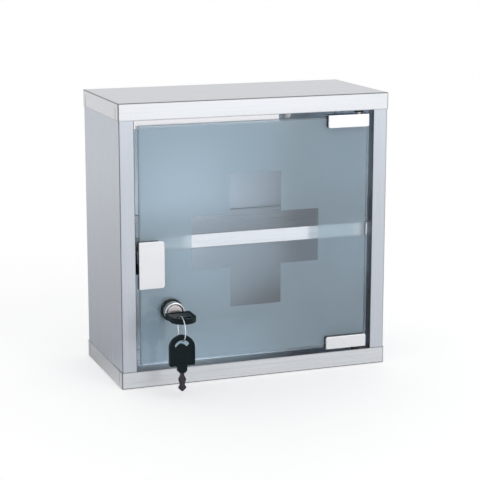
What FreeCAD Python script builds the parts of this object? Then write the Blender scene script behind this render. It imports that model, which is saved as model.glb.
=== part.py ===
import FreeCAD, Part
import math
import os

from FreeCAD import Placement, Rotation, Vector

# Wall cabinet for medicines: a body of folded steel sheet, a frosted glass door on corner pivots,
# a cam lock with two keys on a ring, and a magnetic push latch.
# Lengths are in millimetres and angles in degrees. X runs to the right as seen from the front,
# the front faces -Y, the wall is at +Y, Z points up and the origin is the middle of the base.

# Body of folded sheet
cabinet_width = 300.0
cabinet_height = 300.0
cabinet_depth = 140.0
sheet = 0.8
bend_inside = 0.4
skirt_height = 18.0
rail_depth = 20.0
stile_width = 17.0
stile_return = 12.0
rear_flange = 14.0
edge_gap = 0.1
seam_width = 0.6
seam_setback = 10.0
seam_height = 13.0

# Keyholes for wall screws
keyhole_spacing = 200.0
keyhole_drop = 31.0
keyhole_head = 10.0
keyhole_neck = 5.5
keyhole_rise = 9.0

# Shelf and its brackets
shelf_height = 157.0
shelf_door_gap = 1.3
shelf_lip = 15.5
shelf_rear_lip = 12.0
shelf_hem = 6.0
shelf_side_gap = 0.4
shelf_back_gap = 1.5
bracket_leg = 12.0
bracket_gap = 2.0

# Door pane
glass_thickness = 5.0
glass_recess = 1.0
door_side_gap = 4.5
door_end_gap = 5.5
glass_corner = 2.0
glass_arris = 1.0
cross_size = 143.0
cross_arm = 57.0
etch_depth = 0.1

# Hinge clamps, their pivots and screws
clamp_length = 47.0
clamp_reach = 12.0
clamp_wall = 2.5
clamp_web = 1.2
clamp_inset = 1.5
clamp_edge = 0.6
clamp_corner = 2.0
clamp_liner = 0.6
grub_diameter = 4.0
grub_length = 4.0
grub_spacing = 26.0
grub_socket = 2.0
grub_socket_depth = 1.5
pivot_inset = 10.5
pivot_wall_gap = 0.5
pin_diameter = 4.0
pin_short = 1.0
collar_diameter = 6.0
collar_height = 1.2
rivet_diameter = 3.0
bush_diameter = 7.0
bush_flange = 9.5
bush_rise = 6.0
seat_gap = 0.3
running_gap = 0.05
thread_gap = 0.05

# Strike plate on the free edge of the pane
strike_width = 27.5
strike_back = 22.0
strike_height = 50.0
strike_rise = 131.0
strike_sheet = 1.0
strike_liner = 0.5
strike_corner = 3.0

# Stop strip and buffer under the top rail
stop_length = 160.0
stop_leg = 10.0
stop_foot = 11.0
stop_gap = 0.5
stop_tab = 22.0
buffer_diameter = 7.2
buffer_height = 5.6
buffer_stem = 3.0

# Cam lock
lock_inset = 34.0
lock_rise = 57.5
bezel_diameter = 21.5
bezel_height = 10.0
bezel_round = 1.4
barrel_diameter = 18.0
barrel_length = 16.0
barrel_gap = 0.3
gasket_diameter = 23.6
gasket_thickness = 1.0
nut_width = 24.0
nut_height = 5.0
plug_diameter = 13.0
plug_head = 16.4
plug_head_height = 2.0
plug_recess = 0.4
plug_groove = 0.7
plug_chamfer = 1.1
tail_square = 8.0
cam_length = 46.0
cam_hub = 18.0
cam_tip = 12.0
cam_thickness = 2.0
cam_gap = 0.1
cam_screw_head = 9.0
cam_screw_height = 3.0
cam_screw_diameter = 4.0
cam_screw_length = 5.0

# Keys
bow_width = 27.0
bow_length = 32.0
bow_arch = 12.5
bow_thickness = 6.0
bow_corner = 1.5
bow_edge = 0.8
bow_rim = 2.2
bow_recess = 0.8
neck_width = 10.0
neck_length = 7.5
neck_thickness = 4.4
neck_taper = 2.0
eye_radius = 7.0
eye_width = 4.4
eye_drop = 7.1
eye_sweep = 114.0
tang_width = 6.0
tang_length = 10.0
blade_length = 20.0
blade_width = 8.0
blade_thickness = 2.0
groove_width = 1.6
groove_depth = 0.4
key_gap = 0.3
blade_length_shares = (0.0, 0.06, 0.14, 0.32, 0.42, 0.60, 0.66, 0.76, 0.84, 1.0)
blade_width_shares = (0.72, 0.5, 0.5, 0.96, 0.96, 0.66, 0.66, 1.0, 1.0, 0.1)

# Wire ring that carries the spare key
ring_radius = 12.6
ring_wire = 1.1
ring_gap = 0.45

# Push latch behind the strike plate
latch_inset = 12.0
latch_rise = 126.0
latch_travel = 4.0
latch_gap = 0.3
magnet_diameter = 9.0
magnet_thickness = 3.0
magnet_proud = 0.5
plunger_head = 11.0
plunger_head_length = 4.5
plunger_rod = 7.0
plunger_collar = 10.0
plunger_collar_length = 2.0
housing_width = 16.0
housing_height = 14.0
housing_length = 40.0
housing_round = 1.0
guide_length = 8.0
chamber_diameter = 11.0
end_cap_length = 4.0
foot_width = 31.0
foot_length = 26.0
foot_thickness = 2.4
latch_screw_spacing = 23.5
latch_screw_diameter = 3.0
latch_screw_head = 5.5
latch_screw_height = 2.0
latch_screw_grip = 3.0
latch_leg = 20.0
spring_diameter = 9.4
spring_wire = 0.9
spring_turns = 5

# Geometry helpers
overrun = 1.0
tolerance = 1e-6
full_turn = 360.0
quarter_turn = 90.0
hex_sides = 6
arcs_per_turn = 2
points_per_turn = 48

# Places that the pieces share
half_width = cabinet_width / 2
front = -cabinet_depth / 2
rear = cabinet_depth / 2
middle = cabinet_height / 2
rail_level = cabinet_height - skirt_height
opening_half = half_width - stile_width
wall_inside = half_width - 2 * sheet
panel_front = rear - 3 * sheet
panel_ends = (sheet + bend_inside, cabinet_height - sheet - bend_inside)
glass_half = opening_half - door_side_gap
glass_low = skirt_height + door_end_gap
glass_high = cabinet_height - glass_low
glass_front = front + glass_recess
glass_back = glass_front + glass_thickness

clamp_right = glass_half - clamp_inset
clamp_left = clamp_right - clamp_length
clamp_front = glass_front - clamp_liner - clamp_wall
clamp_back = glass_back + clamp_liner + clamp_wall
clamp_low = glass_high - clamp_reach
clamp_high = glass_high + clamp_liner + clamp_web
pivot_x = glass_half - pivot_inset
pivot_y = front + sheet + pivot_wall_gap + bush_flange / 2
bush_flange_height = rail_level - clamp_high - collar_height - seat_gap

lock_x = lock_inset - glass_half
lock_z = glass_low + lock_rise
bezel_back = glass_front - gasket_thickness
bezel_front = bezel_back - bezel_height
barrel_end = bezel_back + barrel_length
plug_face = bezel_front + plug_recess
cam_front = barrel_end + cam_gap
cam_back = cam_front + cam_thickness

key_seat = plug_face - key_gap
bow_end = neck_length + bow_length
eye_place = bow_end - eye_drop
eye_centre = eye_place - eye_radius

latch_x = latch_inset - glass_half
latch_face = glass_back + strike_liner + strike_sheet + latch_gap
plunger_front = latch_face + magnet_proud
plunger_back = plunger_front + plunger_head_length
housing_front = plunger_back + latch_travel + latch_gap
chamber_front = housing_front + guide_length
housing_back = housing_front + housing_length
housing_low = latch_rise - housing_height / 2
collar_front = chamber_front + latch_gap
collar_back = collar_front + plunger_collar_length
end_cap_front = housing_back - end_cap_length


def block(x, y, z):
    """Box between a low and a high limit on each axis."""
    return Part.makeBox(x[1] - x[0], y[1] - y[0], z[1] - z[0], Vector(x[0], y[0], z[0]))


def both(half):
    """Limits that lie evenly about zero."""
    return (-half, half)


def rod(diameter, start, direction, length):
    """Round bar from a start point."""
    return Part.makeCylinder(diameter / 2, length, start, direction)


def flat(points):
    """Plane face inside a closed outline of straight sides."""
    return Part.Face(Part.makePolygon(points + points[:1]))


def turned(profile, base, direction):
    """Solid of revolution: the profile holds radius and height, and height zero lies at the base."""
    face = flat([Vector(radius, 0, height) for radius, height in profile])
    solid = face.revolve(Vector(), Vector(0, 0, 1), full_turn)
    solid.Placement = Placement(base, Rotation(Vector(0, 0, 1), direction))
    return solid


def collar(bore, outside, start, direction, length):
    """Plain ring with a round bore."""
    profile = [(bore / 2, 0), (outside / 2, 0), (outside / 2, length), (bore / 2, length)]
    return turned(profile, start, direction)


def bent(path, thickness):
    """Section of bent sheet: a clockwise path follows its inner face, and outer bends are round."""
    wire = Part.makePolygon([Vector(x, y, 0) for x, y in path])
    return wire.makeOffset2D(-thickness, 0, True, True, False)


def along_x(section, x):
    """Bar along X from a section drawn in Y and Z."""
    section.Placement = Placement(Vector(x[0], 0, 0), Rotation(Vector(1, 1, 1), full_turn / 3))
    return section.extrude(Vector(x[1] - x[0], 0, 0))


def along_y(section, y):
    """Bar along Y from a section drawn in X and Z."""
    section.Placement = Placement(Vector(0, y[0], 0), Rotation(Vector(1, 0, 0), quarter_turn))
    return section.extrude(Vector(0, y[1] - y[0], 0))


def along_z(section, z):
    """Bar along Z from a section drawn in X and Y."""
    section.Placement = Placement(Vector(0, 0, z[0]), Rotation())
    return section.extrude(Vector(0, 0, z[1] - z[0]))


def edges_on(shape, axis, place):
    """Edges that lie in one plane square to an axis."""
    found = []
    for edge in shape.Edges:
        if all(abs(getattr(corner.Point, axis) - place) < tolerance for corner in edge.Vertexes):
            found.append(edge)
    return found


def edges_along(shape, axis):
    """Straight edges that run along an axis."""
    found = []
    for edge in shape.Edges:
        ends = [corner.Point for corner in edge.Vertexes]
        if len(ends) == 2 and abs(abs(getattr(ends[1] - ends[0], axis)) - edge.Length) < tolerance:
            found.append(edge)
    return found


def to_right(shape):
    """Mirror image on the other side of the cabinet."""
    return shape.mirror(Vector(), Vector(1, 0, 0))


def to_bottom(shape):
    """Mirror image at the other end of the door."""
    return shape.mirror(Vector(0, 0, middle), Vector(0, 0, 1))


def tray(x, y, z, radius):
    """Block with rounded top edges and upright corners, sharp at its open lower side."""
    body = block(x, y, z)
    low = edges_on(body, "z", z[0])
    soft = [edge for edge in body.Edges if not any(edge.isSame(other) for other in low)]
    return body.makeFillet(radius, soft)


def make_cap():
    """Folded lid: four skirts, corner seams and a front lip with a hole for a pivot bush."""
    outer = tray(both(half_width), both(rear), (rail_level, cabinet_height), bend_inside + sheet)
    hollow = tray(both(half_width - sheet), both(rear - sheet),
                  (rail_level - overrun, cabinet_height - sheet), bend_inside)
    cap = outer.cut(hollow)
    lip = block(both(opening_half - edge_gap), (front + sheet / 2, front + rail_depth),
                (rail_level, rail_level + sheet))
    cap = cap.fuse(lip).removeSplitter()
    for place in (front + seam_setback, rear - seam_setback - seam_width):
        slit = block((-half_width - overrun, sheet - half_width), (place, place + seam_width),
                     (rail_level - overrun, rail_level + seam_height))
        cap = cap.cut(slit).cut(to_right(slit))
    hole = rod(bush_diameter + 2 * thread_gap, Vector(pivot_x, pivot_y, rail_level - overrun),
               Vector(0, 0, 1), sheet + 2 * overrun)
    return cap.cut(hole)


def make_top_cap():
    """Lid with a second hole in its lip, for the buffer's stem."""
    stem = rod(buffer_stem + 2 * thread_gap, buffer_place(rail_level - overrun),
               Vector(0, 0, 1), sheet + 2 * overrun)
    return make_cap().cut(stem)


def make_left_side_panel():
    """Folded side: front stile with its return, side wall and rear flange."""
    outside = sheet - half_width
    inside = outside + sheet
    stile = -opening_half - sheet
    path = [(stile, front + sheet + stile_return), (stile, front + 2 * sheet), (inside, front + 2 * sheet),
            (inside, rear - 2 * sheet), (outside + rear_flange, rear - 2 * sheet)]
    return along_z(bent(path, sheet), panel_ends)


def make_back_panel():
    """Flat rear sheet with two keyholes, inside the rear flanges."""
    limits = (panel_front, panel_front + sheet)
    panel = block(both(wall_inside - edge_gap), limits, panel_ends)
    level = cabinet_height - keyhole_drop
    through = (limits[0] - overrun, limits[1] + overrun)
    for x in both(keyhole_spacing / 2):
        start = Vector(x, through[0], level)
        head = rod(keyhole_head, start, Vector(0, 1, 0), through[1] - through[0])
        top = rod(keyhole_neck, start + Vector(0, 0, keyhole_rise), Vector(0, 1, 0), through[1] - through[0])
        slot = block((x - keyhole_neck / 2, x + keyhole_neck / 2), through, (level, level + keyhole_rise))
        panel = panel.cut(head.fuse(top).fuse(slot))
    return panel


def shelf_limits():
    """Front and rear faces of the shelf. The front one clears the pane's corner as the door swings."""
    sweep = math.hypot(pivot_inset, pivot_y - glass_front)
    return (pivot_y + sweep + shelf_door_gap, panel_front - shelf_back_gap)


def make_shelf():
    """Folded shelf with a hemmed front lip and a plain rear lip."""
    face, back = shelf_limits()
    under = shelf_height - sheet
    path = [(face + sheet + shelf_hem, shelf_height - shelf_lip + sheet),
            (face + sheet, shelf_height - shelf_lip + sheet), (face + sheet, under),
            (back - sheet, under), (back - sheet, shelf_height - shelf_rear_lip)]
    return along_x(bent(path, sheet), both(wall_inside - shelf_side_gap))


def make_left_shelf_bracket():
    """Angle on the side wall, between the lips of the shelf that lies on it."""
    face, back = shelf_limits()
    high = shelf_height - 2 * sheet
    path = [(sheet - wall_inside, high + sheet - bracket_leg), (sheet - wall_inside, high),
            (bracket_leg - wall_inside, high)]
    start = face + sheet + shelf_hem + bracket_gap
    return along_y(bent(path, sheet), (start, back - sheet - bracket_gap))


def stop_limits():
    """Front face of the stop strip's leg, and the right-hand ends of the leg and of the foot."""
    end = stop_length + edge_gap - opening_half
    return glass_back + stop_gap, end, end + stop_tab


def buffer_place(level):
    """Middle of the buffer at a given level."""
    face, leg_end, foot_end = stop_limits()
    return Vector((leg_end + foot_end) / 2, face + stop_foot / 2, level)


def make_door_stop_strip():
    """Angle under the top rail: its leg stops the pane, and its foot runs on to hold the buffer."""
    face, leg_end, foot_end = stop_limits()
    under = rail_level - sheet
    path = [(face + sheet, rail_level - stop_leg), (face + sheet, under), (face + stop_foot, under)]
    start = edge_gap - opening_half
    strip = along_x(bent(path, sheet), (start, leg_end))
    tab = block((leg_end, foot_end), (face + sheet, face + stop_foot), (under, rail_level))
    hole = rod(buffer_stem + 2 * thread_gap, buffer_place(under - overrun), Vector(0, 0, 1),
               sheet + 2 * overrun)
    return strip.fuse(tab).removeSplitter().cut(hole)


def make_stop_buffer():
    """Domed push-in buffer with a stem through the strip and the rail lip."""
    radius = buffer_diameter / 2
    ball = (radius ** 2 + buffer_height ** 2) / (2 * buffer_height)
    half_angle = math.atan2(radius, ball - buffer_height) / 2
    shoulder = Vector(ball * math.sin(half_angle), 0, buffer_height - ball + ball * math.cos(half_angle))
    crown = Vector(0, 0, buffer_height)
    rim = Vector(radius, 0, 0)
    dome = Part.Wire([Part.makeLine(Vector(), rim), Part.Arc(rim, shoulder, crown).toShape(),
                      Part.makeLine(crown, Vector())])
    cap = Part.Face(dome).revolve(Vector(), Vector(0, 0, 1), full_turn)
    cap.Placement = Placement(buffer_place(rail_level - sheet), Rotation(Vector(0, 0, 1), Vector(0, 0, -1)))
    stem = rod(buffer_stem, buffer_place(rail_level - sheet), Vector(0, 0, 1), 2 * sheet)
    return cap.fuse(stem)


def cross_face():
    """Plane outline of the clear cross, centred on the pane."""
    reach = cross_size / 2
    arm = cross_arm / 2
    upright = block(both(arm), (0, overrun), (middle - reach, middle + reach))
    level = block(both(reach), (0, overrun), (middle - arm, middle + arm))
    outline = upright.fuse(level).removeSplitter()
    return [face for face in outline.Faces if abs(face.CenterOfMass.y) < tolerance][0]


def make_door_glass():
    """Pane with arrised edges and a lock hole. Its inner face is etched, apart from the clear cross."""
    pane = block(both(glass_half), (glass_front, glass_back), (glass_low, glass_high))
    pane = pane.makeFillet(glass_corner, edges_along(pane, "y"))
    rims = edges_on(pane, "y", glass_front) + edges_on(pane, "y", glass_back)
    pane = pane.makeChamfer(glass_arris, rims)
    hole = rod(barrel_diameter + 2 * barrel_gap, Vector(lock_x, glass_front - overrun, lock_z),
               Vector(0, 1, 0), glass_thickness + 2 * overrun)
    clear = cross_face().extrude(Vector(0, etch_depth, 0))
    clear.translate(Vector(0, glass_back, 0))
    return pane.cut(hole).fuse(clear)


def grub_places():
    """Where the upper clamp's screws meet the liner behind the pane."""
    level = glass_high - clamp_reach / 2
    centre = (clamp_left + clamp_right) / 2
    return [Vector(centre + x, glass_back + clamp_liner, level) for x in both(grub_spacing / 2)]


def clamp_block(y, high):
    """Block as long as a clamp, with its two corners on the pane rounded."""
    body = block((clamp_left, clamp_right), y, (clamp_low, high))
    corners = [edge for edge in edges_along(body, "y") if edge.CenterOfMass.z < clamp_low + tolerance]
    return body.makeFillet(clamp_corner, corners)


def make_upper_hinge_clamp():
    """Channel over the top edge of the pane, with a riveted pivot and two screws behind."""
    body = clamp_block((clamp_front, clamp_back), clamp_high)
    body = body.makeFillet(clamp_edge, edges_on(body, "y", clamp_front))
    slot = block((clamp_left - overrun, clamp_right + overrun),
                 (glass_front - clamp_liner, glass_back + clamp_liner),
                 (clamp_low - overrun, glass_high + clamp_liner))
    body = body.cut(slot)
    rivet = rod(rivet_diameter + 2 * thread_gap, Vector(pivot_x, pivot_y, clamp_high - clamp_web - overrun),
                Vector(0, 0, 1), clamp_web + 2 * overrun)
    body = body.cut(rivet)
    for place in grub_places():
        body = body.cut(rod(grub_diameter + 2 * thread_gap, place, Vector(0, 1, 0), clamp_wall + overrun))
    return body


def make_upper_hinge_liner():
    """Soft channel between the clamp and the pane."""
    outer = clamp_block((glass_front - clamp_liner, glass_back + clamp_liner), glass_high + clamp_liner)
    inner = block((clamp_left - overrun, clamp_right + overrun), (glass_front, glass_back),
                  (clamp_low - overrun, glass_high))
    return outer.cut(inner)


def make_hinge_set_screws():
    """Socket grub screws of both clamps."""
    screws = []
    for place in grub_places():
        socket = grub_socket / math.sqrt(3)
        hexagon = [Vector(place.x + socket * math.cos(turn), 0, place.z + socket * math.sin(turn))
                   for turn in hex_angles()]
        recess = flat(hexagon).extrude(Vector(0, grub_socket_depth + overrun, 0))
        recess.translate(Vector(0, place.y + grub_length - grub_socket_depth, 0))
        screw = rod(grub_diameter, place, Vector(0, 1, 0), grub_length).cut(recess)
        screws += [screw, to_bottom(screw)]
    return Part.makeCompound(screws)


def hex_angles():
    """Directions of a hexagon's corners, in radians."""
    return [math.radians(full_turn * corner / hex_sides) for corner in range(hex_sides)]


def make_upper_pivot_pin():
    """Stepped pin riveted into the clamp's web."""
    shank = seat_gap + bush_flange_height + sheet + bush_rise - pin_short
    profile = [(0, -clamp_web), (rivet_diameter / 2, -clamp_web), (rivet_diameter / 2, 0),
               (collar_diameter / 2, 0), (collar_diameter / 2, collar_height),
               (pin_diameter / 2, collar_height), (pin_diameter / 2, collar_height + shank),
               (0, collar_height + shank)]
    return turned(profile, Vector(pivot_x, pivot_y, clamp_high), Vector(0, 0, 1))


def make_upper_pivot_bush():
    """Flanged bush in the rail lip, in which the pin turns."""
    bore = pin_diameter / 2 + running_gap
    top = sheet + bush_rise
    profile = [(bore, -bush_flange_height), (bush_flange / 2, -bush_flange_height), (bush_flange / 2, 0),
               (bush_diameter / 2, 0), (bush_diameter / 2, top), (bore, top)]
    return turned(profile, Vector(pivot_x, pivot_y, rail_level), Vector(0, 0, 1))


def edge_clip(inside, thickness):
    """Clip of bent sheet round the free edge of the pane, a given distance off the glass."""
    near = -glass_half - inside
    outside = glass_half + strike_liner + strike_sheet
    tip = strike_width - outside
    path = [(tip, glass_front - inside), (near, glass_front - inside),
            (near, glass_back + inside), (strike_back - outside, glass_back + inside)]
    clip = along_z(bent(path, thickness), (strike_rise - strike_height / 2, strike_rise + strike_height / 2))
    corners = [edge for edge in edges_along(clip, "y")
               if abs(edge.CenterOfMass.x - tip) < tolerance and edge.CenterOfMass.y < glass_front]
    return clip.makeFillet(strike_corner, corners)


def make_strike_plate():
    """Bright clip with two rounded corners, pulled by the latch magnet."""
    return edge_clip(strike_liner, strike_sheet)


def make_strike_liner():
    """Thin pad between the clip and the glass, flush with the clip."""
    return edge_clip(0, strike_liner)


def lock_point(y):
    """Point on the lock's axis."""
    return Vector(lock_x, y, lock_z)


def make_lock_barrel():
    """Fixed housing of the lock: round bezel in front of the pane and a barrel through it."""
    bore = plug_diameter / 2 + running_gap
    seat = plug_head / 2 + plug_groove
    seat_depth = plug_recess + plug_head_height + running_gap
    back = bezel_height + barrel_length
    profile = [(seat, 0), (bezel_diameter / 2, 0), (bezel_diameter / 2, bezel_height),
               (barrel_diameter / 2, bezel_height), (barrel_diameter / 2, back), (bore, back),
               (bore, seat_depth), (seat, seat_depth)]
    barrel = turned(profile, lock_point(bezel_front), Vector(0, 1, 0))
    rims = edges_on(barrel, "y", bezel_front)
    outer = max(rims, key=lambda edge: edge.Length)
    return barrel.makeFillet(bezel_round, [outer])


def make_lock_gasket():
    """Dark ring between the bezel and the pane."""
    bore = barrel_diameter + 2 * barrel_gap
    return collar(bore, gasket_diameter, lock_point(bezel_back), Vector(0, 1, 0), gasket_thickness)


def make_lock_washer():
    """Soft washer under the nut."""
    bore = barrel_diameter + 2 * barrel_gap
    return collar(bore, gasket_diameter, lock_point(glass_back), Vector(0, 1, 0), gasket_thickness)


def make_lock_nut():
    """Hexagon nut on the barrel, behind the pane."""
    start = glass_back + gasket_thickness
    corner = nut_width / math.sqrt(3)
    outline = [Vector(lock_x + corner * math.cos(turn), start, lock_z + corner * math.sin(turn))
               for turn in hex_angles()]
    nut = flat(outline).extrude(Vector(0, nut_height, 0))
    bore = rod(barrel_diameter + 2 * thread_gap, lock_point(start - overrun), Vector(0, 1, 0),
               nut_height + 2 * overrun)
    return nut.cut(bore)


def make_lock_plug():
    """Turning core with a keyway in front and a square tail for the cam behind."""
    length = cam_front - plug_face
    profile = [(0, 0), (plug_head / 2 - plug_chamfer, 0), (plug_head / 2, plug_chamfer),
               (plug_head / 2, plug_head_height), (plug_diameter / 2, plug_head_height),
               (plug_diameter / 2, length), (0, length)]
    plug = turned(profile, lock_point(plug_face), Vector(0, 1, 0))
    half_tail = tail_square / 2
    tail = block((lock_x - half_tail, lock_x + half_tail), (cam_front, cam_back),
                 (lock_z - half_tail, lock_z + half_tail))
    half_slot = blade_width / 2 + key_gap
    half_height = blade_thickness / 2 + key_gap
    keyway = block((lock_x - half_slot, lock_x + half_slot), (plug_face - overrun, plug_face + blade_length),
                   (lock_z - half_height, lock_z + half_height))
    tapped = rod(cam_screw_diameter + 2 * thread_gap, lock_point(cam_back - cam_screw_length),
                 Vector(0, 1, 0), cam_screw_length + overrun)
    return plug.fuse(tail).removeSplitter().cut(keyway).cut(tapped)


def make_lock_cam():
    """Tongue that swings behind the stile. It hangs down while the lock is open."""
    hub = cam_hub / 2
    tip = cam_tip / 2
    span = cam_length - tip
    rise = (hub - tip) / span
    side = math.sqrt(1 - rise ** 2)
    centre = lock_point(cam_front)
    low = centre - Vector(0, 0, span)
    upper = [centre + Vector(turn * hub * side, 0, hub * rise) for turn in (-1, 1)]
    lower = [low + Vector(turn * tip * side, 0, tip * rise) for turn in (-1, 1)]
    outline = Part.Wire([Part.Arc(upper[0], centre + Vector(0, 0, hub), upper[1]).toShape(),
                         Part.makeLine(upper[1], lower[1]),
                         Part.Arc(lower[1], low - Vector(0, 0, tip), lower[0]).toShape(),
                         Part.makeLine(lower[0], upper[0])])
    tongue = Part.Face(outline).extrude(Vector(0, cam_thickness, 0))
    half_hole = tail_square / 2 + cam_gap
    hole = block((lock_x - half_hole, lock_x + half_hole), (cam_front - overrun, cam_back + overrun),
                 (lock_z - half_hole, lock_z + half_hole))
    return tongue.cut(hole)


def make_cam_screw():
    """Screw that holds the cam on the plug's tail."""
    profile = [(0, -cam_screw_length), (cam_screw_diameter / 2, -cam_screw_length),
               (cam_screw_diameter / 2, 0), (cam_screw_head / 2, 0), (cam_screw_head / 2, cam_screw_height),
               (0, cam_screw_height)]
    return turned(profile, lock_point(cam_back), Vector(0, 1, 0))


def bow_face(inset):
    """Outline of the key's bow with an arched end, drawn in from its edge by an inset."""
    half = bow_width / 2 - inset
    low = neck_length + inset
    springing = bow_end - bow_arch
    corners = [Vector(-half, springing, 0), Vector(-half, low, 0), Vector(half, low, 0),
               Vector(half, springing, 0)]
    arch = Part.Arc(corners[3], Vector(0, bow_end - inset, 0), corners[0]).toShape()
    return Part.Face(Part.Wire(Part.makePolygon(corners).Edges + [arch]))


def eye_face():
    """Arched slot with round ends near the end of the bow."""
    centre = Vector(0, eye_centre, 0)
    spread = math.radians(eye_sweep / 2)

    def at(radius, turn):
        return centre + Vector(radius * math.sin(turn), radius * math.cos(turn), 0)

    inner = eye_radius - eye_width / 2
    outer = eye_radius + eye_width / 2
    sides = [Part.Arc(at(radius, -spread), at(radius, 0), at(radius, spread)) for radius in (inner, outer)]
    ends = []
    for turn in (-spread, spread):
        outward = Vector(math.cos(turn), -math.sin(turn), 0) * math.copysign(eye_width / 2, turn)
        ends.append(Part.Arc(at(inner, turn), at(eye_radius, turn) + outward, at(outer, turn)))
    edges = [curve.toShape() for curve in (sides[0], ends[1], sides[1], ends[0])]
    return Part.Face(Part.Wire(Part.__sortEdges__(edges)))


def thick(face, thickness):
    """Plate of a given thickness, even about the plane of its face."""
    plate = face.extrude(Vector(0, 0, thickness))
    plate.translate(Vector(0, 0, -thickness / 2))
    return plate


def tang_block():
    """Flat tail of the blade inside the bow."""
    return block(both(tang_width / 2), (0, neck_length + tang_length), both(blade_thickness / 2))


def key_bow():
    """Moulded bow and neck: the key points down -Y, and Y is zero at the end of the neck."""
    bow = thick(bow_face(0), bow_thickness)
    feet = [edge for edge in edges_along(bow, "z") if edge.CenterOfMass.y < neck_length + tolerance]
    bow = bow.makeFillet(bow_corner, feet)
    rims = edges_on(bow, "z", bow_thickness / 2) + edges_on(bow, "z", -bow_thickness / 2)
    bow = bow.makeFillet(bow_edge, rims)
    web = bow_thickness / 2 - bow_recess
    panel = bow_face(bow_rim)
    for level in (web, -web - bow_recess - overrun):
        pocket = panel.extrude(Vector(0, 0, bow_recess + overrun))
        pocket.translate(Vector(0, 0, level))
        bow = bow.cut(pocket)
    half = neck_width / 2
    foot = half - neck_taper
    neck = flat([Vector(-half, neck_length, 0), Vector(-half, neck_taper, 0), Vector(-foot, 0, 0),
                 Vector(foot, 0, 0), Vector(half, neck_taper, 0), Vector(half, neck_length, 0)])
    bow = bow.fuse(thick(neck, neck_thickness)).cut(thick(eye_face(), bow_thickness + overrun))
    return bow.cut(tang_block())


def key_blade():
    """Steel blade with bitting on both edges and a groove along both faces."""
    right = [Vector(blade_width / 2 * across, -blade_length * down, 0)
             for down, across in zip(blade_length_shares, blade_width_shares)]
    left = [Vector(-point.x, point.y, 0) for point in reversed(right)]
    blade = thick(flat(right + left), blade_thickness)
    for level in (blade_thickness / 2 - groove_depth, -blade_thickness / 2 - overrun):
        groove = block(both(groove_width / 2), (-blade_length - overrun, -tolerance),
                       (level, level + groove_depth + overrun))
        blade = blade.cut(groove)
    return blade.fuse(tang_block())


def in_lock(piece):
    """Place a key in the lock, with its bow level and its eye towards the viewer."""
    piece.Placement = Placement(lock_point(key_seat), Rotation(Vector(1, 0, 0), 2 * quarter_turn))
    return piece


def ring_centre():
    """Middle of the ring, which hangs along the key through the left end of the eye.

    The rim before the eye lies inside the ring and the far side of the eye outside it, each a
    clearance away.
    """
    spread = math.radians(eye_sweep / 2)
    aside = eye_radius * math.sin(spread)
    outer = eye_radius + eye_width / 2
    rim_side = eye_centre + math.sqrt(outer ** 2 - aside ** 2)
    far_side = eye_centre + eye_radius * math.cos(spread) - eye_width / 2
    web = bow_thickness / 2 - bow_recess
    across = rim_side - far_side
    apart = math.hypot(across, 2 * web)
    lean = math.atan2(-2 * web, across)
    room = ring_wire / 2 + ring_gap
    near_radius = ring_radius - room
    far_radius = ring_radius + room
    turn = math.acos((near_radius ** 2 + apart ** 2 - far_radius ** 2) / (2 * near_radius * apart))
    inward = near_radius * math.cos(lean - turn)
    drop = web + near_radius * math.sin(lean - turn)
    return lock_point(key_seat - rim_side) + Vector(-aside, inward, drop)


def make_key_ring():
    """Wire ring through the eyes of both keys."""
    return Part.makeTorus(ring_radius, ring_wire / 2, ring_centre(), Vector(1, 0, 0))


def on_ring(piece):
    """Hang a key from the bottom of the ring, square to it and blade down."""
    centre = ring_centre()
    rise = ring_radius - math.sqrt(ring_radius ** 2 - (bow_thickness / 2) ** 2)
    seat = centre.z - ring_radius + ring_wire / 2 + rise + ring_gap
    piece.Placement = Placement(Vector(centre.x, centre.y, seat - eye_place - eye_width / 2),
                                Rotation(Vector(1, 0, 0), quarter_turn))
    return piece


def latch_point(y):
    """Point on the latch's axis."""
    return Vector(latch_x, y, latch_rise)


def latch_screw_places():
    """Where the latch screws pass through the top of the foot."""
    middle_y = (housing_front + housing_back) / 2
    level = housing_low + foot_thickness
    return [Vector(latch_x + x, middle_y, level) for x in both(latch_screw_spacing / 2)]


def make_latch_housing():
    """Moulded latch case with a stepped bore and a foot with two screw ears."""
    half = housing_width / 2
    case = block((latch_x - half, latch_x + half), (housing_front, housing_back),
                 (housing_low, housing_low + housing_height))
    case = case.makeFillet(housing_round, edges_on(case, "z", housing_low + housing_height))
    middle_y = (housing_front + housing_back) / 2
    foot = block((latch_x - foot_width / 2, latch_x + foot_width / 2),
                 (middle_y - foot_length / 2, middle_y + foot_length / 2),
                 (housing_low, housing_low + foot_thickness))
    case = case.fuse(foot).removeSplitter()
    guide = rod(plunger_rod + 2 * running_gap, latch_point(housing_front - overrun), Vector(0, 1, 0),
                guide_length + 2 * overrun)
    chamber = rod(chamber_diameter, latch_point(chamber_front), Vector(0, 1, 0),
                  housing_length - guide_length + overrun)
    case = case.cut(guide).cut(chamber)
    for place in latch_screw_places():
        case = case.cut(rod(latch_screw_diameter + 2 * thread_gap, place + Vector(0, 0, overrun),
                            Vector(0, 0, -1), foot_thickness + 2 * overrun))
    return case


def make_latch_end_cap():
    """Plug that closes the spring chamber."""
    return rod(chamber_diameter - 2 * thread_gap, latch_point(end_cap_front), Vector(0, 1, 0), end_cap_length)


def make_latch_bracket():
    """Angle on the side wall that carries the latch."""
    right = latch_x + foot_width / 2
    high = housing_low - sheet
    path = [(sheet - wall_inside, housing_low - latch_leg), (sheet - wall_inside, high), (right, high)]
    bracket = along_y(bent(path, sheet), (housing_front, housing_back))
    for place in latch_screw_places():
        bracket = bracket.cut(rod(latch_screw_diameter + 2 * thread_gap, place, Vector(0, 0, -1),
                                  foot_thickness + sheet + overrun))
    return bracket


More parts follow.
